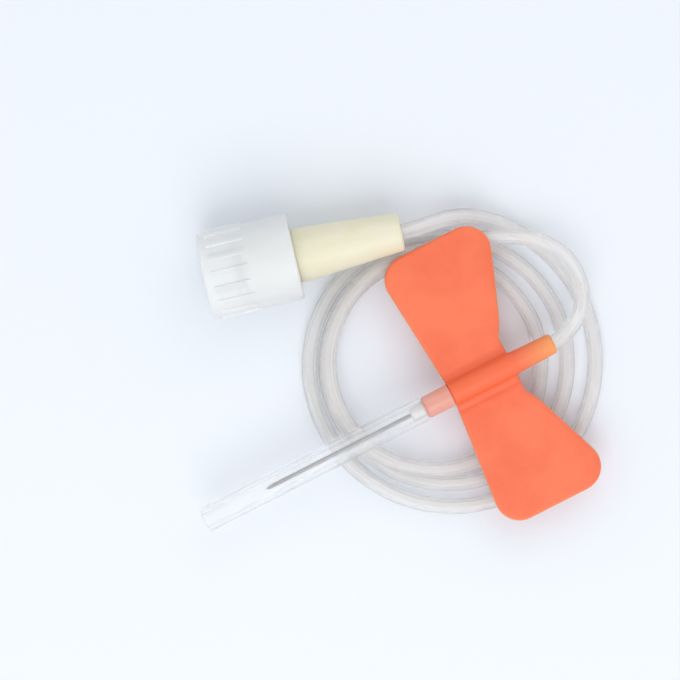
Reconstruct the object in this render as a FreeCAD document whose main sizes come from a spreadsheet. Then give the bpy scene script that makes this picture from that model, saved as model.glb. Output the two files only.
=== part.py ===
import FreeCAD
import Part
import Sketcher
import math
import os

Vector = FreeCAD.Vector

# Driving dimensions, in millimetres and degrees
SIZES = [
    ("tube_od", 1.9),
    ("film", 0.03),
    ("rest_gap", 0.3),
    ("cannula_od", 0.5),
    ("cannula_bore", 0.26),
    ("needle_reach", 19.3),
    ("bevel_angle", 14),
    ("lancet_angle", 24),
    ("nose_od", 1.7),
    ("nose_reach", 1.9),
    ("hub_od", 2.75),
    ("hub_reach", 3.5),
    ("hub_chamfer", 0.2),
    ("shank_depth", 5.3),
    ("sheath_od", 3.1),
    ("sheath_length", 29.3),
    ("sheath_fit", 0.03),
    ("sleeve_od", 2.9),
    ("sleeve_base", 1.375),
    ("passage_bore", 1.1),
    ("socket_depth", 4.0),
    ("tail_reach", 5.4),
    ("tail_end_od", 2.5),
    ("root_front", 4.3),
    ("root_rear", 3.9),
    ("hinge_gap", 0.06),
    ("wing_thick", 0.9),
    ("half_span", 17.4),
    ("tip_front", 5.75),
    ("tip_rear", 9.45),
    ("shoulder_rear", 4.95),
    ("shoulder_side", 5.4),
    ("waist_rear", 3.85),
    ("waist_side", 3.4),
    ("tip_radius", 3.0),
    ("shoulder_radius", 0.9),
    ("wing_edge", 0.25),
    ("coil_x", -2.3),
    ("coil_y", 3.15),
    ("coil_outer", 18.55),
    ("coil_edge", 0.7),
    ("nest_x", -2.0),
    ("nest_y", 1.0),
    ("nest_outer", 13.75),
    ("nest_inner", 11.9),
    ("rim_x", -13.3),
    ("rim_y", 23.1),
    ("luer_turn", -14),
    ("cap_lap", 5.6),
    ("luer_length", 18.5),
    ("luer_front_od", 6.3),
    ("luer_body_od", 6.5),
    ("luer_end_od", 4.6),
    ("luer_mouth", 4.28),
    ("luer_slope", 0.03),
    ("luer_depth", 8.5),
    ("luer_socket", 6.5),
    ("lug_span", 7.8),
    ("lug_width", 2.4),
    ("lug_length", 1.1),
    ("cap_od", 10.8),
    ("cap_wall", 1.0),
    ("cap_length", 11.0),
    ("cap_floor", 1.2),
    ("cap_mouth_gap", 0.5),
    ("plug_depth", 7.0),
    ("plug_core", 1.6),
    ("grip_height", 0.22),
    ("grip_width", 0.8),
    ("grip_count", 18),
    ("web_width", 0.9),
    ("web_count", 6),
]

# Routes of the free tube: points in plan, then height above the surface.
# The first leaves the tail behind the wings, the second enters the connector.
LEAD_ROUTE = [
    (14.0, 1.7, 5.1),
    (15.8, 4.9, 4.3),
    (15.7, 8.5, 3.5),
    (13.8, 11.6, 3.0),
    (10.6, 13.8, 2.85),
    (6.3, 15.4, 2.85),
    (1.6, 16.3, 2.85),
]
END_ROUTE = [
    (5.7, 18.95, 3.9),
    (8.8, 17.2, 2.3),
    (11.3, 14.8, 1.1),
]
LEAD_BEND_START = 1.5
END_BEND_START = 2.0

doc = FreeCAD.newDocument("winged_infusion_set")
sheet = doc.addObject("Spreadsheet::Sheet", "Sizes")
for row, (alias, value) in enumerate(SIZES, 1):
    sheet.set("A%d" % row, alias)
    sheet.set("B%d" % row, str(value))
    sheet.setAlias("B%d" % row, alias)
doc.recompute()

# Heights and stations that several pieces share, as expressions of the sheet
AXIS = "(Sizes.tube_od * 2 + Sizes.rest_gap + Sizes.sheath_od / 2)"
HUB_FACE = "(-Sizes.root_front - Sizes.hub_reach)"
NOSE_FACE = "(-Sizes.root_front - Sizes.hub_reach - Sizes.nose_reach)"
SHANK_END = "(-Sizes.root_front + Sizes.shank_depth)"
TAIL_END = "(Sizes.root_rear + Sizes.tail_reach)"
HINGE_SIDE = "(Sizes.sleeve_od / 2 + Sizes.hinge_gap)"
TUBE_BORE = "(Sizes.tube_od / 2 + Sizes.film)"
CAP_AXIS = "(Sizes.cap_od / 2)"


def size(expression):
    """The number that an expression of the sheet gives."""
    return float(sheet.evalExpression(expression))


def new_body(label):
    body = doc.addObject("PartDesign::Body", label)
    body.Label = label
    return body


def new_sketch(body, name, role):
    """A sketch on one of the body's own origin planes."""
    sketch = body.newObject("Sketcher::SketchObject", name)
    plane = next(f for f in body.Origin.OriginFeatures if f.Role == role)
    sketch.AttachmentSupport = [(plane, "")]
    sketch.MapMode = "FlatFace"
    return sketch


def draw_outline(sketch, corners):
    """Closes straight lines through corners, each held at two expressions of the sheet."""
    first = sketch.GeometryCount
    points = [Vector(size(x), size(y), 0) for x, y in corners]
    count = len(points)
    for i in range(count):
        sketch.addGeometry(Part.LineSegment(points[i], points[(i + 1) % count]))
    for i in range(count):
        following = first + (i + 1) % count
        sketch.addConstraint(Sketcher.Constraint("Coincident", first + i, 2, following, 1))
    for i, (x, y) in enumerate(corners):
        for kind, text, value in (("DistanceX", x, points[i].x), ("DistanceY", y, points[i].y)):
            index = sketch.addConstraint(Sketcher.Constraint(kind, -1, 1, first + i, 1, value))
            sketch.setExpression("Constraints[%d]" % index, text)


def turned(body, kind, name, corners, axis="H_Axis"):
    """A Revolution or Groove of an outline about one axis of the vertical plane."""
    sketch = new_sketch(body, name + "_profile", "XZ_Plane")
    draw_outline(sketch, corners)
    feature = body.newObject("PartDesign::" + kind, name)
    feature.Profile = sketch
    feature.ReferenceAxis = (sketch, [axis])
    feature.Angle = 360
    doc.recompute()
    return feature


def padded(body, name, role, corners, length, reverse=False, midplane=False):
    """A Pad of an outline on an origin plane."""
    sketch = new_sketch(body, name + "_outline", role)
    draw_outline(sketch, corners)
    pad = body.newObject("PartDesign::Pad", name)
    pad.Profile = sketch
    pad.setExpression("Length", length)
    pad.Midplane = midplane
    pad.Reversed = reverse
    doc.recompute()
    return pad


def disc(body, kind, name, centre, radius, height=None):
    """A round Pad on the ground plane, or a round Pocket through all if no height is given."""
    sketch = new_sketch(body, name + "_outline", "XY_Plane")
    x, y = centre
    sketch.addGeometry(Part.Circle(Vector(size(x), size(y), 0), Vector(0, 0, 1), size(radius)))
    for number, (rule, text) in enumerate((("DistanceX", x), ("DistanceY", y), ("Radius", radius))):
        ends = (0,) if rule == "Radius" else (-1, 1, 0, 3)
        sketch.addConstraint(Sketcher.Constraint(rule, *ends, size(text)))
        sketch.setExpression("Constraints[%d]" % number, text)
    feature = body.newObject("PartDesign::" + kind, name)
    feature.Profile = sketch
    if height:
        feature.setExpression("Length", height)
    else:
        feature.Type = 1
        feature.Midplane = True
    doc.recompute()
    return feature


def cut_through(body, name, role, corners):
    """A Pocket of an outline, through all on both sides of an origin plane."""
    sketch = new_sketch(body, name + "_outline", role)
    draw_outline(sketch, corners)
    pocket = body.newObject("PartDesign::Pocket", name)
    pocket.Profile = sketch
    pocket.Type = 1
    pocket.Midplane = True
    doc.recompute()
    return pocket


def repeated(body, name, feature, axis_role, count):
    """A polar pattern of a feature round one of the body's own axes."""
    axis = next(f for f in body.Origin.OriginFeatures if f.Role == axis_role)
    pattern = body.newObject("PartDesign::PolarPattern", name)
    pattern.Originals = [feature]
    pattern.Axis = (axis, [""])
    pattern.Angle = 360
    pattern.setExpression("Occurrences", count)
    body.Tip = pattern
    doc.recompute()
    return pattern


def rounded(body, name, base, edges, radius):
    """A Fillet of the numbered edges of the body's last feature."""
    fillet = body.newObject("PartDesign::Fillet", name)
    fillet.Base = (base, ["Edge%d" % number for number in edges])
    fillet.setExpression("Radius", radius)
    doc.recompute()
    return fillet


def bevelled(body, name, base, edges, width):
    """A Chamfer of the numbered edges of the body's last feature."""
    chamfer = body.newObject("PartDesign::Chamfer", name)
    chamfer.Base = (base, ["Edge%d" % number for number in edges])
    chamfer.setExpression("Size", width)
    doc.recompute()
    return chamfer


def placed(body, x, y, z, turn=None):
    """Binds a body's place, and its turn about the vertical, to the sheet."""
    if turn:
        body.Placement = FreeCAD.Placement(Vector(0, 0, 0), FreeCAD.Rotation(Vector(0, 0, 1), 1))
        body.setExpression("Placement.Rotation.Angle", turn)
    body.setExpression("Placement.Base.x", x)
    body.setExpression("Placement.Base.y", y)
    body.setExpression("Placement.Base.z", z)


def upright_edges(shape, corners, reach):
    """Numbers of the vertical edges within reach of any of the plan corners."""
    found = []
    for number, edge in enumerate(shape.Edges, 1):
        low, high = edge.BoundBox.ZMin, edge.BoundBox.ZMax
        if high - low < 0.5 * shape.BoundBox.ZLength or edge.BoundBox.DiagonalLength > 1.01 * (high - low):
            continue
        middle = edge.CenterOfMass
        if any(math.hypot(middle.x - x, middle.y - y) < reach for x, y in corners):
            found.append(number)
    return found


def make_cannula():
    """Steel tube from its lancet point to the middle of the hub's shank, drawn from the point."""
    body = new_body("cannula")
    radius = "Sizes.cannula_od / 2"
    bevel = "Sizes.cannula_od / tan(Sizes.bevel_angle)"
    lancet = "Sizes.cannula_od / 2 / tan(Sizes.lancet_angle)"
    length = "Sizes.needle_reach + Sizes.nose_reach + Sizes.hub_reach + Sizes.shank_depth - 0.5 * Sizes.nose_reach"
    turned(body, "Revolution", "wall", [
        ("0", "Sizes.cannula_bore / 2"),
        (length, "Sizes.cannula_bore / 2"),
        (length, radius),
        ("0", radius),
    ])
    cut_through(body, "bevel", "XZ_Plane", [
        ("0", "-" + radius),
        (bevel, radius),
        (bevel, "Sizes.cannula_od"),
        ("-Sizes.cannula_od", "Sizes.cannula_od"),
        ("-Sizes.cannula_od", "-" + radius),
    ])
    for name, side in (("lancet_left", ""), ("lancet_right", "-")):
        cut_through(body, name, "XY_Plane", [
            ("0", "0"),
            (lancet, side + radius),
            (lancet, side + "Sizes.cannula_od"),
            ("-Sizes.cannula_od", side + "Sizes.cannula_od"),
            ("-Sizes.cannula_od", "0"),
        ])
    placed(body, NOSE_FACE + " - Sizes.needle_reach", "0", AXIS)
    return body


def make_hub():
    """Rigid hub: a nose that the sheath grips, the visible barrel and a shank inside the sleeve."""
    body = new_body("needle_hub")
    bore = "(Sizes.cannula_od / 2 + Sizes.film)"
    end = "Sizes.nose_reach + Sizes.hub_reach + Sizes.shank_depth"
    turned(body, "Revolution", "barrel", [
        ("0", bore),
        ("0", "Sizes.nose_od / 2 - Sizes.hub_chamfer"),
        ("Sizes.hub_chamfer", "Sizes.nose_od / 2"),
        ("Sizes.nose_reach", "Sizes.nose_od / 2"),
        ("Sizes.nose_reach", "Sizes.hub_od / 2 - Sizes.hub_chamfer"),
        ("Sizes.nose_reach + Sizes.hub_chamfer", "Sizes.hub_od / 2"),
        ("Sizes.nose_reach + Sizes.hub_reach - Sizes.film", "Sizes.hub_od / 2"),
        ("Sizes.nose_reach + Sizes.hub_reach - Sizes.film", "Sizes.tube_od / 2"),
        (end, "Sizes.tube_od / 2"),
        (end, bore),
    ])
    placed(body, NOSE_FACE, "0", AXIS)
    return body


def make_sleeve():
    """Soft sleeve between the wings, with its flat base, and the tail that holds the tube."""
    body = new_body("wing_sleeve")
    radius = "Sizes.sleeve_od / 2"
    turned(body, "Revolution", "round", [
        ("-Sizes.root_front", "0"),
        ("-Sizes.root_front", radius + " - Sizes.hub_chamfer"),
        ("-Sizes.root_front + Sizes.hub_chamfer", radius),
        ("Sizes.root_rear", radius),
        ("Sizes.root_rear + 2 * Sizes.hub_chamfer", "Sizes.hub_od / 2"),
        (TAIL_END + " - Sizes.hub_chamfer", "Sizes.tail_end_od / 2"),
        (TAIL_END, "Sizes.tail_end_od / 2 - Sizes.hub_chamfer"),
        (TAIL_END, "0"),
    ])
    padded(body, "base", "XY_Plane", [
        ("-Sizes.root_front", "-" + radius),
        ("Sizes.root_rear", "-" + radius),
        ("Sizes.root_rear", radius),
        ("-Sizes.root_front", radius),
    ], "Sizes.sleeve_base", reverse=True)
    turned(body, "Groove", "bore", [
        ("-Sizes.root_front - Sizes.film", "0"),
        ("-Sizes.root_front - Sizes.film", TUBE_BORE),
        (SHANK_END + " + Sizes.film", TUBE_BORE),
        (SHANK_END + " + Sizes.film", "Sizes.passage_bore / 2"),
        (TAIL_END + " - Sizes.socket_depth", "Sizes.passage_bore / 2"),
        (TAIL_END + " - Sizes.socket_depth", TUBE_BORE),
        (TAIL_END + " + Sizes.film", TUBE_BORE),
        (TAIL_END + " + Sizes.film", "0"),
    ])
    placed(body, "0", "0", AXIS)
    return body


def make_wing(label, side):
    """One wing plate from its fold line outwards; side is 1 or -1 across the needle."""
    body = new_body(label)
    corners = [
        ("-Sizes.root_front", HINGE_SIDE),
        ("-Sizes.tip_front", "Sizes.half_span"),
        ("Sizes.tip_rear", "Sizes.half_span"),
        ("Sizes.shoulder_rear", "Sizes.shoulder_side"),
        ("Sizes.waist_rear", "Sizes.waist_side"),
        ("Sizes.root_rear", HINGE_SIDE),
    ]
    across = [(x, y if side > 0 else "-(" + y + ")") for x, y in corners]
    plate = padded(body, "plate", "XY_Plane", across, "Sizes.wing_thick")
    reach = size("Sizes.wing_thick") / 2
    plan = [(size(x), size(y)) for x, y in across]
    tips = rounded(body, "tips", plate, upright_edges(plate.Shape, plan[1:3], reach), "Sizes.tip_radius")
    bends = upright_edges(tips.Shape, plan[3:5], reach)
    waist = rounded(body, "waist", tips, bends, "Sizes.shoulder_radius")
    fold = side * size(HINGE_SIDE)
    rim = []
    for number, edge in enumerate(waist.Shape.Edges, 1):
        box = edge.BoundBox
        on_fold = abs(box.YMin - fold) < 1e-4 and abs(box.YMax - fold) < 1e-4
        if box.ZLength < 1e-4 and not on_fold:
            rim.append(number)
    bevelled(body, "rim", waist, rim, "Sizes.wing_edge")
    placed(body, "0", "0", AXIS + " - Sizes.sleeve_base")
    return body


def make_sheath():
    """Clear guard cut from tube, pushed over the hub's nose up to the hub's face."""
    body = new_body("needle_sheath")
    bore = "(Sizes.nose_od / 2 + Sizes.sheath_fit)"
    ease = "Sizes.hub_chamfer"
    turned(body, "Revolution", "wall", [
        ("-Sizes.sheath_length", bore),
        ("0", bore),
        ("0", "Sizes.sheath_od / 2 - " + ease),
        ("-" + ease, "Sizes.sheath_od / 2"),
        ("-Sizes.sheath_length + " + ease, "Sizes.sheath_od / 2"),
        ("-Sizes.sheath_length", "Sizes.sheath_od / 2 - " + ease),
    ])
    placed(body, HUB_FACE + " - Sizes.sheath_fit", "0", AXIS)
    return body


def make_coil():
    """The space that the wound tube fills: a wide turn, and a nest of smaller ones on one side of it."""
    body = new_body("tube_coil")
    nest = ("Sizes.nest_x", "Sizes.nest_y")
    disc(body, "Pad", "outer_turn", ("0", "0"), "Sizes.coil_outer", "Sizes.tube_od")
    disc(body, "Pad", "nest", nest, "Sizes.nest_outer", "2 * Sizes.tube_od")
    hollow = disc(body, "Pocket", "hollow", nest, "Sizes.nest_inner")
    radii = [size("Sizes.coil_outer"), size("Sizes.nest_outer"), size("Sizes.nest_inner")]
    levels = [0, size("Sizes.tube_od"), 2 * size("Sizes.tube_od")]
    rims = []
    for number, edge in enumerate(hollow.Shape.Edges, 1):
        circle = isinstance(edge.Curve, Part.Circle) and edge.BoundBox.ZLength < 1e-4
        if not circle:
            continue
        known = any(abs(edge.Curve.Radius - radius) < 1e-4 for radius in radii)
        step = abs(edge.Curve.Radius - radii[1]) < 1e-4 and abs(edge.BoundBox.ZMin - levels[1]) < 1e-4
        if known and not step:
            rims.append(number)
    bevelled(body, "edges", hollow, rims, "Sizes.coil_edge")
    placed(body, "Sizes.coil_x", "Sizes.coil_y", "0")
    return body


def make_connector():
    """Female lock connector, drawn from its mouth: 6 % taper, two lugs, a cone down to the tube."""
    body = new_body("luer_connector")
    taper_end = "(Sizes.luer_mouth / 2 - Sizes.luer_slope * Sizes.luer_depth)"
    socket = "Sizes.luer_length - Sizes.luer_socket"
    turned(body, "Revolution", "shell", [
        ("0", "Sizes.luer_mouth / 2"),
        ("0", "Sizes.luer_front_od / 2"),
        ("Sizes.cap_lap", "Sizes.luer_front_od / 2"),
        ("Sizes.cap_lap + Sizes.hub_chamfer", "Sizes.luer_body_od / 2"),
        ("Sizes.cap_lap + Sizes.lug_length", "Sizes.luer_body_od / 2"),
        ("Sizes.luer_length - Sizes.hub_chamfer", "Sizes.luer_end_od / 2"),
        ("Sizes.luer_length", "Sizes.luer_end_od / 2 - Sizes.hub_chamfer"),
        ("Sizes.luer_length", TUBE_BORE),
        (socket, TUBE_BORE),
        (socket, "Sizes.passage_bore / 2"),
        ("Sizes.luer_depth", "Sizes.passage_bore / 2"),
        ("Sizes.luer_depth", taper_end),
    ])
    half = "Sizes.lug_width / 2"
    lug = padded(body, "lug", "YZ_Plane", [
        ("-" + half, "0.45 * Sizes.luer_front_od"),
        (half, "0.45 * Sizes.luer_front_od"),
        (half, "Sizes.lug_span / 2"),
        ("-" + half, "Sizes.lug_span / 2"),
    ], "Sizes.lug_length")
    repeated(body, "lugs", lug, "X_Axis", "2")
    placed(body, mouth_place()[0], mouth_place()[1], CAP_AXIS, "Sizes.luer_turn")
    return body


def mouth_place():
    """Plan place of the connector's mouth, one lap of the cap in front of its rim."""
    return (
        "Sizes.rim_x - Sizes.cap_lap * cos(Sizes.luer_turn)",
        "Sizes.rim_y - Sizes.cap_lap * sin(Sizes.luer_turn)",
    )


def make_cap():
    """Push-on cap, drawn from the same mouth: skirt, middle wall, luer plug and ribbed back."""
    body = new_body("luer_cap")
    root = "(Sizes.cap_od / 2 - Sizes.grip_height)"
    inside = "(Sizes.cap_od / 2 - Sizes.grip_height - Sizes.cap_wall)"
    back = "(Sizes.cap_lap - Sizes.cap_length)"
    floor_front = "(-Sizes.cap_mouth_gap)"
    floor_back = "(-Sizes.cap_mouth_gap - Sizes.cap_floor)"
    plug_root = "(Sizes.luer_mouth / 2 - Sizes.film)"
    plug_tip = "(Sizes.luer_mouth / 2 - Sizes.film - Sizes.luer_slope * Sizes.plug_depth)"
    boss = "(Sizes.plug_core / 2 + Sizes.cap_wall)"
    turned(body, "Revolution", "shell", [
        (back, "Sizes.plug_core / 2"),
        ("Sizes.plug_depth - Sizes.cap_wall", "Sizes.plug_core / 2"),
        ("Sizes.plug_depth - Sizes.cap_wall", "0"),
        ("Sizes.plug_depth", "0"),
        ("Sizes.plug_depth", plug_tip),
        ("0", plug_root),
        (floor_front, plug_root),
        (floor_front, inside),
        ("Sizes.cap_lap", inside),
        ("Sizes.cap_lap", root + " - Sizes.hub_chamfer"),
        ("Sizes.cap_lap - Sizes.hub_chamfer", root),
        (back + " + Sizes.hub_chamfer", root),
        (back, root + " - Sizes.hub_chamfer"),
    ])
    turned(body, "Groove", "back_recess", [
        (back + " - Sizes.film", boss),
        (floor_back, boss),
        (floor_back, inside),
        (back + " - Sizes.film", inside),
    ])
    web = padded(body, "web", "XY_Plane", [
        (back + " + Sizes.cap_wall", "0.5 * (Sizes.plug_core + Sizes.cap_wall)"),
        (floor_back + " + 0.5 * Sizes.cap_floor", "0.5 * (Sizes.plug_core + Sizes.cap_wall)"),
        (floor_back + " + 0.5 * Sizes.cap_floor", inside + " + 0.5 * Sizes.cap_wall"),
        (back + " + Sizes.cap_wall", inside + " + 0.5 * Sizes.cap_wall"),
    ], "Sizes.web_width", midplane=True)
    repeated(body, "webs", web, "X_Axis", "Sizes.web_count")
    grip = padded(body, "grip", "YZ_Plane", [
        ("-Sizes.grip_width / 2", "-" + root + " + 0.5 * Sizes.cap_wall"),
        ("Sizes.grip_width / 2", "-" + root + " + 0.5 * Sizes.cap_wall"),
        ("Sizes.grip_width / 4", "-Sizes.cap_od / 2"),
        ("-Sizes.grip_width / 4", "-Sizes.cap_od / 2"),
    ], "Sizes.cap_length - Sizes.cap_lap - Sizes.cap_wall", reverse=True)
    repeated(body, "grips", grip, "X_Axis", "Sizes.grip_count")
    placed(body, mouth_place()[0], mouth_place()[1], CAP_AXIS, "Sizes.luer_turn")
    return body


def tube_path(points):
    """Straight runs joined by tangent arcs, each as large as its two runs allow."""
    share = 0.45
    edges, start, radii = [], points[0], []
    for before, corner, after in zip(points, points[1:], points[2:]):
        incoming, outgoing = corner - before, after - corner
        half_turn = incoming.getAngle(outgoing) / 2
        cut = share * min(incoming.Length, outgoing.Length)
        radius = cut / math.tan(half_turn)
        incoming.normalize()
        outgoing.normalize()
        first, last = corner - incoming * cut, corner + outgoing * cut
        inward = outgoing - incoming
        inward.normalize()
        middle = corner + inward * (radius / math.cos(half_turn) - radius)
        edges += [Part.LineSegment(start, first).toShape(), Part.Arc(first, middle, last).toShape()]
        start = last
        radii.append(round(radius, 1))
    edges.append(Part.LineSegment(start, points[-1]).toShape())
    return Part.Wire(edges), radii


def make_tube(label, points):
    """A solid tube of the free stretch, checked against its section times its length."""
    path, radii = tube_path(points)
    radius = size("Sizes.tube_od / 2")
    ring = Part.Wire([Part.makeCircle(radius, points[0], points[1] - points[0])])
    piece = doc.addObject("Part::Feature", label)
    piece.Label = label
    piece.Shape = path.makePipeShell([ring], True, False)
    piece.Placement = FreeCAD.Placement()
    expected = math.pi * radius**2 * path.Length
    if abs(piece.Shape.Volume - expected) > 0.01 * expected:
        raise ValueError("the volume of %s does not match its route" % label)
    print(label, "length", round(path.Length, 2), "bend radii", radii)
    return piece


def lead_points():
    """From the socket in the tail to the top of the coil."""
    axis = size(AXIS)
    start = size(TAIL_END + " - Sizes.socket_depth + Sizes.film")
    leave = size(TAIL_END) + LEAD_BEND_START
    return [Vector(start, 0, axis), Vector(leave, 0, axis)] + [Vector(*p) for p in LEAD_ROUTE]


def end_points():
    """From the socket in the connector to the coil's outer turn."""
    turn = math.radians(size("Sizes.luer_turn"))
    ahead = Vector(math.cos(turn), math.sin(turn), 0)
    x, y = mouth_place()
    mouth = Vector(size(x), size(y), size(CAP_AXIS))
    start = mouth + ahead * size("Sizes.luer_length - Sizes.luer_socket + Sizes.film")
    leave = mouth + ahead * (size("Sizes.luer_length") + END_BEND_START)
    return [start, leave] + [Vector(*p) for p in END_ROUTE]


pieces = [
    make_cannula(),
    make_hub(),
    make_sleeve(),
    make_wing("wing_left", 1),
    make_wing("wing_right", -1),
    make_sheath(),
    make_coil(),
    make_connector(),
    make_cap(),
    make_tube("tube_lead", lead_points()),
    make_tube("tube_end", end_points()),
]
doc.recompute()

for item in doc.Objects:
    if "Invalid" in item.State or "Error" in item.State:
        raise ValueError("%s did not recompute: %s" % (item.Label, item.State))
os.makedirs("parts", exist_ok=True)
for piece in pieces:
    if piece.Shape.isNull() or not piece.Shape.isValid():
        raise ValueError("%s has no valid shape" % piece.Label)
    print(piece.Label, len(piece.Shape.Solids), "solid, volume", round(piece.Shape.Volume, 3))
    piece.Shape.exportStep("parts/%s.step" % piece.Label)
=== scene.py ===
import math

import bmesh
import bpy
from mathutils import Matrix, Vector


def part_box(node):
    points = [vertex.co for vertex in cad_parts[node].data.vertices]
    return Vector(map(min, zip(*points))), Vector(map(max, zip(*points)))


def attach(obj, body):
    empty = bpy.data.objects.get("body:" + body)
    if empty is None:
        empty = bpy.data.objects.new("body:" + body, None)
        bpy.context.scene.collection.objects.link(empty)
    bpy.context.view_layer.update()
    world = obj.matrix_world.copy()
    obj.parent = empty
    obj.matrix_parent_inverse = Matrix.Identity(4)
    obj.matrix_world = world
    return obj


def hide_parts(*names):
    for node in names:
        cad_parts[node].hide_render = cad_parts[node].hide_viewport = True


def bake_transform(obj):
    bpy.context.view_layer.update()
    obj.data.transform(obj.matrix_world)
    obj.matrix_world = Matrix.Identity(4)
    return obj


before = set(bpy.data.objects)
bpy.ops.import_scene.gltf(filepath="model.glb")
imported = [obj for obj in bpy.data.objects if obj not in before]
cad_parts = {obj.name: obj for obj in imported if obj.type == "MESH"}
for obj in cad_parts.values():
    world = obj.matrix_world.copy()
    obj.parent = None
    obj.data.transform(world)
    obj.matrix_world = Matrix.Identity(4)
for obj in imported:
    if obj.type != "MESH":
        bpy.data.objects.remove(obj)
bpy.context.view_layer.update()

MM = 0.001

# View: straight down on the set, turned so that the needle runs up to the right
VIEW_CENTRE = (-13.1 * MM, 11.8 * MM)
VIEW_PLANE = 5.0 * MM
VIEW_WIDTH = 80.95 * MM
VIEW_TURN = math.radians(-27.0)
LENS, SENSOR = 135.0, 36.0
STUDIO_LIGHT = 0.74

# Line: outside diameter, bore, and where it leaves the tail
LINE_OD, LINE_BORE = 1.9 * MM, 1.1 * MM
ROUTE_RESOLUTION = 6

# Route of the line, in millimetres: off the tail and up onto the coil
LEAD_ROUTE = [
    (5.33, 0.0, 5.65),
    (8.2, 0.0, 5.65),
    (10.8, 0.0, 5.65),
    (14.0, 1.7, 5.1),
    (15.8, 4.9, 4.3),
    (15.7, 8.5, 3.5),
    (13.8, 11.6, 3.0),
    (10.6, 13.8, 2.85),
    (6.3, 15.4, 2.85),
]
# Stations of the coil, from the small turn on top outwards: angle about its centre in degrees, radius
# and height. The turns lie close together on one side and fan out on the other.
COIL_CENTRE = (-2.3, 3.15)
COIL_STEP = 15.0
COIL_STATIONS = [
    (75.0, 14.2, 2.9),
    (110.0, 14.7, 2.87),
    (153.0, 15.1, 2.85),
    (195.0, 14.6, 2.85),
    (230.0, 13.2, 2.2),
    (255.0, 12.3, 1.2),
    (280.0, 11.6, 0.97),
    (333.0, 10.6, 0.97),
    (380.0, 11.2, 0.97),
    (435.0, 13.2, 0.97),
    (470.0, 14.6, 0.97),
    (513.0, 15.5, 0.97),
    (603.0, 14.6, 0.97),
    (693.0, 13.9, 0.97),
    (740.0, 14.3, 0.97),
    (775.0, 15.0, 0.97),
    (840.0, 17.0, 0.97),
    (873.0, 17.45, 0.97),
    (1053.0, 17.35, 0.97),
    (1105.0, 17.7, 0.97),
]
# Off the coil's outer turn into the connector
END_ROUTE = [
    (11.3, 14.8, 1.1),
    (8.8, 17.2, 2.3),
    (5.7, 18.95, 3.9),
    (1.157, 19.495, 5.4),
    (-1.754, 20.221, 5.4),
    (-7.061, 21.545, 5.4),
]

# Guard: its bore, the rounding of its cut edges and how far in the middle of that rounding lies
GUARD_BORE, GUARD_EDGE, GUARD_EDGE_MIDDLE = 1.76 * MM, 0.15 * MM, 0.045 * MM

# Wing plan in millimetres, for the left wing: corners from the root outwards with the radius of each
# corner, then how the soft moulding is shaped across its thickness
ROOT_SIDE, WING_END, TIP_MIDDLE = 1.0, 17.4, 1.85
FRONT_CORNERS = [((-5.75, WING_END), 3.0)]
REAR_CORNERS = [((3.85, 3.4), 0.9), ((4.95, 5.4), 0.9), ((9.45, WING_END), 3.0)]
FRONT_ROOT, REAR_ROOT = (-4.25, ROOT_SIDE), (3.9, ROOT_SIDE)
EDGE_INSET = 0.36
SLEEVE_SIDE, ROOT_FILLET = 1.45, 0.38
GROOVE_SIDE, GROOVE_WIDTH, GROOVE_DEPTH = 2.25, 0.3, 0.12
WING_COLUMNS, RIM_STEPS, CORNER_STEPS = 24, 8, 6

# Orange of the thick sleeve, of the tail behind it, and the painted glow of light on the wings' thin rims
DEEP_ORANGE = (0.92, 0.155, 0.055)
TAIL_ORANGE = (0.95, 0.34, 0.11)
PAINTED_RIM_GLOW = (0.95, 0.33, 0.14)
# Where these colours change, in millimetres: out along the wings, and along the needle's line
DEEP_RUN = 1.2
SLEEVE_END, TAIL_START, TAIL_END = 3.7, 4.6, 9.3
GLUE_END, CORAL_START = -8.1, -7.75

# Studio: each lamp's place, width in metres and power in watts
LAMP_AIM = (-0.01, 0.01, 0.0)
KEY_LAMP = ((-0.16, -0.26, 0.42), 0.4, 1.15)
FILL_LAMP = ((0.25, 0.3, 0.5), 0.5, 0.4)
FLOOR_SIDE = 4.0
LIGHT_BOUNCES = 24


def between(stations, angle, column):
    """A value at an angle, straight between the stations on either side."""
    for first, last in zip(stations, stations[1:]):
        if angle <= last[0]:
            share = (angle - first[0]) / (last[0] - first[0])
            return first[column] + share * (last[column] - first[column])
    return stations[-1][column]


def line_route():
    """Control points of the whole line, from the tail to the connector."""
    first, last = COIL_STATIONS[0][0], COIL_STATIONS[-1][0]
    count = round((last - first) / COIL_STEP)
    turns = []
    for i in range(count + 1):
        angle = first + (last - first) * i / count
        radius, height = between(COIL_STATIONS, angle, 1), between(COIL_STATIONS, angle, 2)
        turns.append((
            COIL_CENTRE[0] + radius * math.cos(math.radians(angle)),
            COIL_CENTRE[1] + radius * math.sin(math.radians(angle)),
            height,
        ))
    return [Vector(point) * MM for point in LEAD_ROUTE + turns + END_ROUTE]


def spline_points(points, resolution):
    """Points along the smooth curve through which the line runs."""
    curve = bpy.data.curves.new("route", "CURVE")
    curve.dimensions = "3D"
    spline = curve.splines.new("NURBS")
    spline.points.add(len(points) - 1)
    for point, place in zip(spline.points, points):
        point.co = (*place, 1.0)
    spline.order_u = 3
    spline.use_endpoint_u = True
    spline.resolution_u = resolution
    holder = bpy.data.objects.new("route", curve)
    bpy.context.scene.collection.objects.link(holder)
    bpy.context.view_layer.update()
    mesh = bpy.data.meshes.new_from_object(holder.evaluated_get(bpy.context.evaluated_depsgraph_get()))
    found = [vertex.co.copy() for vertex in mesh.vertices]
    bpy.data.meshes.remove(mesh)
    bpy.data.objects.remove(holder)
    bpy.data.curves.remove(curve)
    return found


def new_object(name, mesh, smooth=True):
    piece = bpy.data.objects.new(name, mesh)
    bpy.context.scene.collection.objects.link(piece)
    if smooth:
        for polygon in mesh.polygons:
            polygon.use_smooth = True
    return piece


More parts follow.
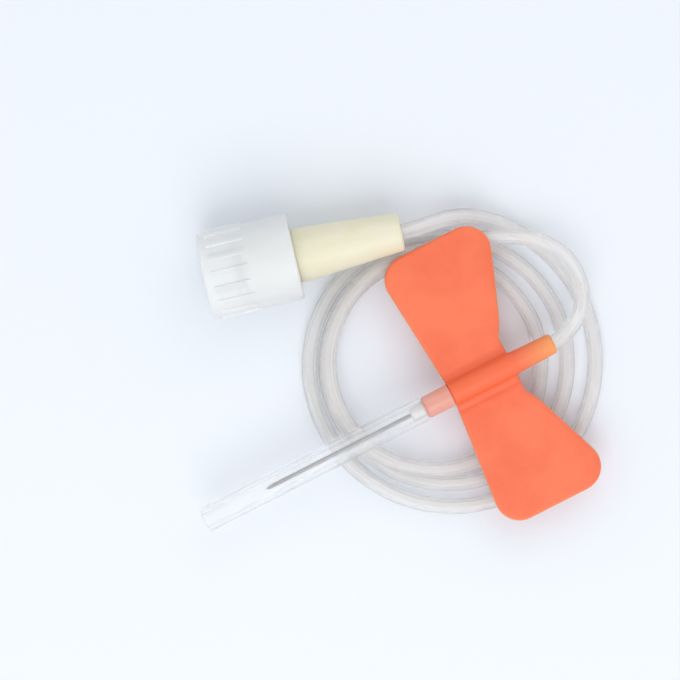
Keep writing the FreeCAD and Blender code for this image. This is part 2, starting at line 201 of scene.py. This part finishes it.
def hollow_tube(name, path, outside, bore, sides=32):
    """A tube with a wall, its rings carried along the path without twist."""
    work = bmesh.new()
    across = None
    walls = {outside / 2: [], bore / 2: []}
    for i, centre in enumerate(path):
        ahead = (path[min(i + 1, len(path) - 1)] - path[max(i - 1, 0)]).normalized()
        if across is None:
            across = ahead.orthogonal().normalized()
        across = (across - ahead * across.dot(ahead)).normalized()
        up = ahead.cross(across)
        for radius, rings in walls.items():
            ring = []
            for j in range(sides):
                angle = 2 * math.pi * j / sides
                spoke = math.cos(angle) * across + math.sin(angle) * up
                ring.append(work.verts.new(centre + radius * spoke))
            rings.append(ring)
    outer, inner = walls[outside / 2], walls[bore / 2]
    for rings, flip in ((outer, False), (inner, True)):
        for before, after in zip(rings, rings[1:]):
            for j in range(sides):
                k = (j + 1) % sides
                face = [before[j], before[k], after[k], after[j]]
                work.faces.new(face[::-1] if flip else face)
    for end, flip in ((0, True), (-1, False)):
        for j in range(sides):
            k = (j + 1) % sides
            face = [outer[end][j], outer[end][k], inner[end][k], inner[end][j]]
            work.faces.new(face[::-1] if flip else face)
    bmesh.ops.recalc_face_normals(work, faces=work.faces)
    mesh = bpy.data.meshes.new(name)
    work.to_mesh(mesh)
    work.free()
    return new_object(name, mesh)


def turned_tube(name, outline, start, sides=96):
    """A ring of revolution about a line along X: outline is (distance along, radius) all the way round it."""
    work = bmesh.new()
    rings = []
    for reach, radius in outline:
        angles = [2 * math.pi * j / sides for j in range(sides)]
        rings.append([
            work.verts.new(start + Vector((reach, radius * math.cos(angle), radius * math.sin(angle))))
            for angle in angles
        ])
    for before, after in zip(rings, rings[1:] + rings[:1]):
        for j in range(sides):
            k = (j + 1) % sides
            work.faces.new((before[j], before[k], after[k], after[j]))
    bmesh.ops.recalc_face_normals(work, faces=work.faces)
    mesh = bpy.data.meshes.new(name)
    work.to_mesh(mesh)
    work.free()
    return new_object(name, mesh)


def rounded_side(root, corners, end):
    """Points along one side of the wing's plan, with each corner rounded to its radius."""
    places = [Vector(root)] + [Vector(place) for place, _ in corners] + [Vector(end)]
    points = [places[0]]
    for before, corner, after, (_, radius) in zip(places, places[1:], places[2:], corners):
        back, ahead = (before - corner).normalized(), (after - corner).normalized()
        half = back.angle(ahead) / 2
        middle = (back + ahead).normalized()
        turn = (math.pi / 2 - half) * (1 if back.cross(ahead) < 0 else -1)
        for i in range(-CORNER_STEPS, CORNER_STEPS + 1):
            spoke = Matrix.Rotation(turn * i / CORNER_STEPS, 2) @ -middle
            points.append(corner + middle * radius / math.sin(half) + spoke * radius)
    return points + [places[-1]]


def crossing(side, y):
    """Where a side of the plan passes a distance from the needle."""
    for near, far in zip(side, side[1:]):
        if far.y >= y - 1e-6:
            share = (y - near.y) / max(far.y - near.y, 1e-9)
            return near.lerp(far, min(share, 1.0))
    return side[-1]


def wing_stations():
    """Distances from the needle: close together over the fold and round the tip's corners."""
    fold = [ROOT_SIDE] + [1.3 + 0.1 * i for i in range(18)]
    waist = [3.2 + 0.25 * i for i in range(12)]
    plate = [6.6 + 0.7 * i for i in range(11)]
    tip = [WING_END - 3.2 * (1 - math.sin(math.pi / 2 * i / 12)) for i in range(13)]
    return fold + waist + plate + tip


def wing_skin_heights(side, low, high):
    """Underside and top of the moulding at a distance from the needle."""
    rise = 0.0
    if side < SLEEVE_SIDE + ROOT_FILLET:
        gap = min(ROOT_FILLET, SLEEVE_SIDE + ROOT_FILLET - side)
        rise = ROOT_FILLET - math.sqrt(ROOT_FILLET**2 - gap**2)
    offset = (side - GROOVE_SIDE) / GROOVE_WIDTH
    groove = GROOVE_DEPTH * math.exp(-offset * offset)
    return low + 0.4 * groove, high + rise - groove


def make_wing(name, node, side):
    """A wing as one soft moulding with the sleeve: full round edges, a fold groove, a filleted root."""
    low, high = (corner[2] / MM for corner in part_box(node))
    front = rounded_side(FRONT_ROOT, FRONT_CORNERS, (TIP_MIDDLE, WING_END))
    rear = rounded_side(REAR_ROOT, REAR_CORNERS, (TIP_MIDDLE, WING_END))
    rungs = [(crossing(front, y), crossing(rear, y)) for y in wing_stations()]
    columns, last = WING_COLUMNS, len(rungs) - 1
    # The rim runs out along the front, across the tip and back along the rear to the root
    rim = [(i, 0) for i in range(last + 1)] + [(last, j) for j in range(1, columns)]
    rim += [(i, columns) for i in range(last, -1, -1)] + [(0, j) for j in range(columns - 1, 0, -1)]
    plan = {(i, j): rungs[i][0].lerp(rungs[i][1], j / columns) for i, j in rim}
    inward = {}
    for before, here, after in zip(rim[-1:] + rim[:-1], rim, rim[1:] + rim[:1]):
        along = plan[after] - plan[before]
        inward[here] = Vector((along.y, -along.x)).normalized()
    work = bmesh.new()
    depth, painted_rim_glow = (work.verts.layers.float.new(layer) for layer in ("thick", "painted_rim_glow"))

    def vertex(place, level):
        under, top = wing_skin_heights(place.y, low, high)
        height = (under + top) / 2 + level * (top - under) / 2
        made = work.verts.new(Vector((place.x, side * place.y, height)) * MM)
        made[depth] = 1.0 - min(1.0, max(0.0, (place.y - SLEEVE_SIDE) / DEEP_RUN))
        # Painted rim light: strongest where the rounded rim faces sideways, none on the flat faces
        made[painted_rim_glow] = 1.0 - abs(level)
        return made

    def rim_loop(angle):
        inset, level = EDGE_INSET * (1 - math.cos(angle)), math.sin(angle)
        return {key: vertex(plan[key] + inward[key] * inset, level) for key in rim}

    loops = [rim_loop(math.radians(-90 + 180 * i / RIM_STEPS)) for i in range(RIM_STEPS + 1)]
    for below, above in zip(loops, loops[1:]):
        for here, after in zip(rim, rim[1:] + rim[:1]):
            work.faces.new((below[here], below[after], above[after], above[here]))
    for border, level in ((loops[0], -1.0), (loops[-1], 1.0)):
        sheet = dict(border)
        for i in range(1, last):
            a, b = (plan[i, j] + inward[i, j] * EDGE_INSET for j in (0, columns))
            for j in range(1, columns):
                sheet[i, j] = vertex(a.lerp(b, j / columns), level)
        for i in range(last):
            for j in range(columns):
                work.faces.new([sheet[key] for key in ((i, j), (i, j + 1), (i + 1, j + 1), (i + 1, j))])
    bmesh.ops.recalc_face_normals(work, faces=work.faces)
    mesh = bpy.data.meshes.new(name)
    work.to_mesh(mesh)
    work.free()
    wing = new_object(name, mesh)
    keep_rest_places(mesh)
    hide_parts(node)
    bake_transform(wing)
    return wing


def keep_rest_places(mesh):
    """Stores where each point lies at rest, so that a pattern stays on a wing as it folds."""
    places = mesh.attributes.new("rest_place", "FLOAT_VECTOR", "POINT")
    places.data.foreach_set("vector", [value for vertex in mesh.vertices for value in vertex.co])


# ---------------------------------------------------------------- materials

def material(name, **inputs):
    """A Principled material and its nodes, with plain values on the shader itself."""
    made = bpy.data.materials.new(name)
    made.use_nodes = True
    shader = made.node_tree.nodes["Principled BSDF"]
    for key, value in inputs.items():
        shader.inputs[key.replace("_", " ")].default_value = value
    return made, made.node_tree, shader


def noise(tree, scale, detail=3.0, roughness=0.5, distortion=0.0, place=None):
    """A noise texture, on the object's own coordinates if no other are given; scale is in lumps per metre."""
    texture = tree.nodes.new("ShaderNodeTexNoise")
    texture.inputs["Scale"].default_value = scale
    texture.inputs["Detail"].default_value = detail
    texture.inputs["Roughness"].default_value = roughness
    texture.inputs["Distortion"].default_value = distortion
    if place is None:
        place = tree.nodes.new("ShaderNodeTexCoord").outputs["Object"]
    tree.links.new(place, texture.inputs["Vector"])
    return texture.outputs["Fac"]


def along(tree, axis, start, end):
    """How far a point lies from start to end along an axis of the set, in millimetres, as 0 to 1."""
    place = tree.nodes.new("ShaderNodeTexCoord").outputs["Object"]
    split = tree.nodes.new("ShaderNodeSeparateXYZ")
    share = tree.nodes.new("ShaderNodeMapRange")
    share.inputs["From Min"].default_value = start * MM
    share.inputs["From Max"].default_value = end * MM
    tree.links.new(place, split.inputs["Vector"])
    tree.links.new(split.outputs[axis], share.inputs["Value"])
    return share.outputs["Result"]


def attribute(tree, name, output):
    node = tree.nodes.new("ShaderNodeAttribute")
    node.attribute_name = name
    return node.outputs[output]


def blended(tree, share, first, last):
    """A colour between two others; each may be a socket or a plain colour."""
    node = tree.nodes.new("ShaderNodeMix")
    node.data_type = "RGBA"
    tree.links.new(share, node.inputs["Factor"])
    for socket, colour in ((node.inputs[6], first), (node.inputs[7], last)):
        if isinstance(colour, tuple):
            socket.default_value = (*colour, 1.0)
        else:
            tree.links.new(colour, socket)
    return node.outputs[2]


def ramp(tree, value, stops):
    """Colours or greys over a value: stops are (place, colour)."""
    node = tree.nodes.new("ShaderNodeValToRGB")
    band = node.color_ramp
    while len(band.elements) < len(stops):
        band.elements.new(0.5)
    for element, (place, colour) in zip(band.elements, stops):
        element.position = place
        element.color = (*colour, 1.0) if len(colour) == 3 else colour
    tree.links.new(value, node.inputs["Fac"])
    return node.outputs["Color"]


def bump(tree, shader, value, height, strength=1.0):
    node = tree.nodes.new("ShaderNodeBump")
    node.inputs["Distance"].default_value = height
    node.inputs["Strength"].default_value = strength
    tree.links.new(value, node.inputs["Height"])
    tree.links.new(node.outputs["Normal"], shader.inputs["Normal"])


def grey(level):
    return (level, level, level)


def orange_vinyl(name, place, colour_over):
    """Satin orange vinyl, cloudy at millimetre scale and finely grained; colour_over adds deeper places, and
    on the wings a painted glow of light on the rims.
    """
    made, tree, shader = material(name, Subsurface_Weight=0.2, Subsurface_Scale=0.0005)
    where = place(tree)
    cloud = noise(tree, 170.0, 3.0, 0.55, 0.3, where)
    thin = ramp(tree, cloud, [(0.38, (0.87, 0.155, 0.062)), (0.62, (0.92, 0.19, 0.082))])
    tree.links.new(colour_over(tree, thin), shader.inputs["Base Color"])
    grain = noise(tree, 7000.0, 2.0, place=where)
    tree.links.new(ramp(tree, grain, [(0.3, grey(0.38)), (0.7, grey(0.50))]), shader.inputs["Roughness"])
    bump(tree, shader, grain, 0.00001)
    return made


def wing_vinyl():
    """The thin wings, deeper in colour where they run into the sleeve, with a painted glow of light on their
    rims.
    """
    return orange_vinyl(
        "wing_vinyl",
        lambda tree: attribute(tree, "rest_place", "Vector"),
        lambda tree, thin: blended(
            tree,
            attribute(tree, "thick", "Fac"),
            # Painted rim light: a lighter orange on the wings' rounded rims
            blended(tree, attribute(tree, "painted_rim_glow", "Fac"), thin, PAINTED_RIM_GLOW),
            DEEP_ORANGE,
        ),
    )


def sleeve_vinyl():
    """The thick sleeve, deep orange, and the tail behind it, lighter and yellower."""
    return orange_vinyl(
        "sleeve_vinyl",
        lambda tree: tree.nodes.new("ShaderNodeTexCoord").outputs["Object"],
        lambda tree, thin: blended(
            tree,
            along(tree, "X", SLEEVE_END, TAIL_START),
            DEEP_ORANGE,
            blended(tree, along(tree, "X", TAIL_START, TAIL_END), thin, TAIL_ORANGE),
        ),
    )


def clear_plastic(name, clear, cloudy, see_through, rough, alpha=1.0, ior=1.42):
    """Clear or milky plastic with faint flow marks, from its clear colour to its cloudy one."""
    made, tree, shader = material(name, IOR=ior, Transmission_Weight=see_through, Alpha=alpha)
    haze = noise(tree, 260.0, 3.0, 0.5, 0.4)
    tree.links.new(ramp(tree, haze, [(0.35, cloudy), (0.65, clear)]), shader.inputs["Base Color"])
    sheen = [(0.3, grey(rough)), (0.7, grey(rough * 1.5))]
    tree.links.new(ramp(tree, haze, sheen), shader.inputs["Roughness"])
    return made


def hub_plastic():
    """Translucent coral hub whose nose is filled with whitish glue round the steel."""
    made, tree, shader = material(
        "hub_plastic", IOR=1.4, Transmission_Weight=0.25, Subsurface_Weight=0.3, Subsurface_Scale=0.0008
    )
    glue = (0.93, 0.91, 0.89)
    coral = ramp(tree, noise(tree, 500.0), [(0.35, (0.98, 0.43, 0.34)), (0.65, (1.0, 0.51, 0.42))])
    colour = blended(tree, along(tree, "X", GLUE_END, CORAL_START), glue, coral)
    sheen = ramp(tree, noise(tree, 600.0), [(0.3, grey(0.09)), (0.7, grey(0.14))])
    tree.links.new(colour, shader.inputs["Base Color"])
    tree.links.new(sheen, shader.inputs["Roughness"])
    return made


def drawn_steel():
    """Bright steel with the fine lengthwise lines of a drawn tube."""
    made, tree, shader = material("drawn_steel", Metallic=1.0)
    place = tree.nodes.new("ShaderNodeTexCoord")
    stretch = tree.nodes.new("ShaderNodeMapping")
    stretch.inputs["Scale"].default_value = (60.0, 9000.0, 9000.0)
    lines = tree.nodes.new("ShaderNodeTexNoise")
    lines.inputs["Scale"].default_value = 1.0
    tree.links.new(place.outputs["Object"], stretch.inputs["Vector"])
    tree.links.new(stretch.outputs["Vector"], lines.inputs["Vector"])
    tree.links.new(
        ramp(tree, lines.outputs["Fac"], [(0.3, grey(0.20)), (0.7, grey(0.30))]), shader.inputs["Base Color"]
    )
    tree.links.new(
        ramp(tree, lines.outputs["Fac"], [(0.3, grey(0.22)), (0.7, grey(0.34))]), shader.inputs["Roughness"]
    )
    return made


def dress(node, made):
    """Gives a CAD node's object its material."""
    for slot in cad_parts[node].material_slots:
        slot.material = made


# ---------------------------------------------------------------- pieces

def make_line():
    path = spline_points(line_route(), ROUTE_RESOLUTION)
    line = hollow_tube("line", path, LINE_OD, LINE_BORE)
    line.data.materials.append(
        clear_plastic("clear_vinyl", (0.995, 0.98, 0.965), (0.98, 0.965, 0.945), 0.72, 0.08, 0.56, 1.3)
    )
    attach(line, "root")
    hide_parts("tube_lead", "tube_coil", "tube_end")


def make_wings():
    vinyl = wing_vinyl()
    for name, side in (("left", 1), ("right", -1)):
        wing = make_wing(name + "_wing_moulding", "wing_" + name, side)
        wing.data.materials.append(vinyl)


def make_guard():
    """The guard cut from clear tube, its cut edges a little rounded on both sides of the wall."""
    low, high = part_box("needle_sheath")
    start = Vector((low[0], (low[1] + high[1]) / 2, (low[2] + high[2]) / 2))
    length, outside = high[0] - low[0], (high[2] - low[2]) / 2
    wall = [
        (0.0, GUARD_BORE / 2 + GUARD_EDGE),
        (0.0, outside - GUARD_EDGE),
        (GUARD_EDGE_MIDDLE, outside - GUARD_EDGE_MIDDLE),
        (GUARD_EDGE, outside),
    ]
    far = [(length - reach, radius) for reach, radius in reversed(wall)]
    bore = [(length - GUARD_EDGE, GUARD_BORE / 2), (GUARD_EDGE, GUARD_BORE / 2)]
    guard = turned_tube("needle_guard", wall + far + bore, start)
    guard.data.materials.append(
        clear_plastic("guard_plastic", (0.99, 0.99, 1.0), (0.96, 0.97, 0.98), 0.78, 0.06, 0.55, 1.25)
    )
    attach(guard, "guard")
    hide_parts("needle_sheath")


def dress_nodes():
    dress("wing_sleeve", sleeve_vinyl())
    dress("cannula", drawn_steel())
    dress("needle_hub", hub_plastic())
    yellow = clear_plastic("yellow_plastic", (0.98, 0.93, 0.74), (0.95, 0.90, 0.66), 0.2, 0.28)
    milky = clear_plastic("milky_plastic", (0.97, 0.98, 0.98), (0.93, 0.95, 0.96), 0.15, 0.3, 0.75, 1.3)
    dress("luer_connector", yellow)
    dress("luer_cap", milky)


# ---------------------------------------------------------------- stage

def make_floor():
    far = FLOOR_SIDE
    corners = [(-far, -far, 0), (far, -far, 0), (far, far, 0), (-far, far, 0)]
    mesh = bpy.data.meshes.new("floor")
    mesh.from_pydata(corners, [], [(0, 1, 2, 3)])
    floor = new_object("floor", mesh, smooth=False)
    made, tree, shader = material("floor_paper", Roughness=0.9, Base_Color=(0.84, 0.875, 0.93, 1.0))
    mesh.materials.append(made)


def make_world():
    """Even soft light, and plain white where the camera, a reflection or clear plastic sees it."""
    world = bpy.data.worlds.new("studio")
    world.use_nodes = True
    tree = world.node_tree
    back = tree.nodes["Background"]
    back.inputs["Color"].default_value = (0.96, 0.98, 1.0, 1.0)
    path = tree.nodes.new("ShaderNodeLightPath")
    seen = path.outputs["Is Camera Ray"]
    for ray in ("Is Glossy Ray", "Is Transmission Ray"):
        either = tree.nodes.new("ShaderNodeMath")
        either.operation = "MAXIMUM"
        tree.links.new(seen, either.inputs[0])
        tree.links.new(path.outputs[ray], either.inputs[1])
        seen = either.outputs["Value"]
    strength = tree.nodes.new("ShaderNodeMapRange")
    strength.inputs["To Min"].default_value = STUDIO_LIGHT
    strength.inputs["To Max"].default_value = 1.0
    tree.links.new(seen, strength.inputs["Value"])
    tree.links.new(strength.outputs["Result"], back.inputs["Strength"])
    bpy.context.scene.world = world


def make_lamp(name, place, width, watts):
    light = bpy.data.lights.new(name, "AREA")
    light.size = width
    light.energy = watts
    lamp = bpy.data.objects.new(name, light)
    lamp.location = place
    lamp.rotation_euler = (Vector(LAMP_AIM) - Vector(place)).to_track_quat("-Z", "Y").to_euler()
    bpy.context.scene.collection.objects.link(lamp)


def make_camera():
    data = bpy.data.cameras.new("camera")
    data.lens, data.sensor_width = LENS, SENSOR
    data.clip_start, data.clip_end = 0.01, 10.0
    camera = bpy.data.objects.new("camera", data)
    camera.location = (*VIEW_CENTRE, VIEW_PLANE + VIEW_WIDTH * LENS / SENSOR)
    camera.rotation_euler = (0.0, 0.0, VIEW_TURN)
    bpy.context.scene.collection.objects.link(camera)
    bpy.context.scene.camera = camera


make_line()
make_wings()
make_guard()
dress_nodes()
make_floor()
make_world()
make_lamp("key", *KEY_LAMP)
make_lamp("fill", *FILL_LAMP)
make_camera()

scene = bpy.context.scene
scene.view_settings.view_transform = "Standard"
scene.cycles.max_bounces = LIGHT_BOUNCES
scene.cycles.transmission_bounces = LIGHT_BOUNCES
scene.cycles.transparent_max_bounces = LIGHT_BOUNCES
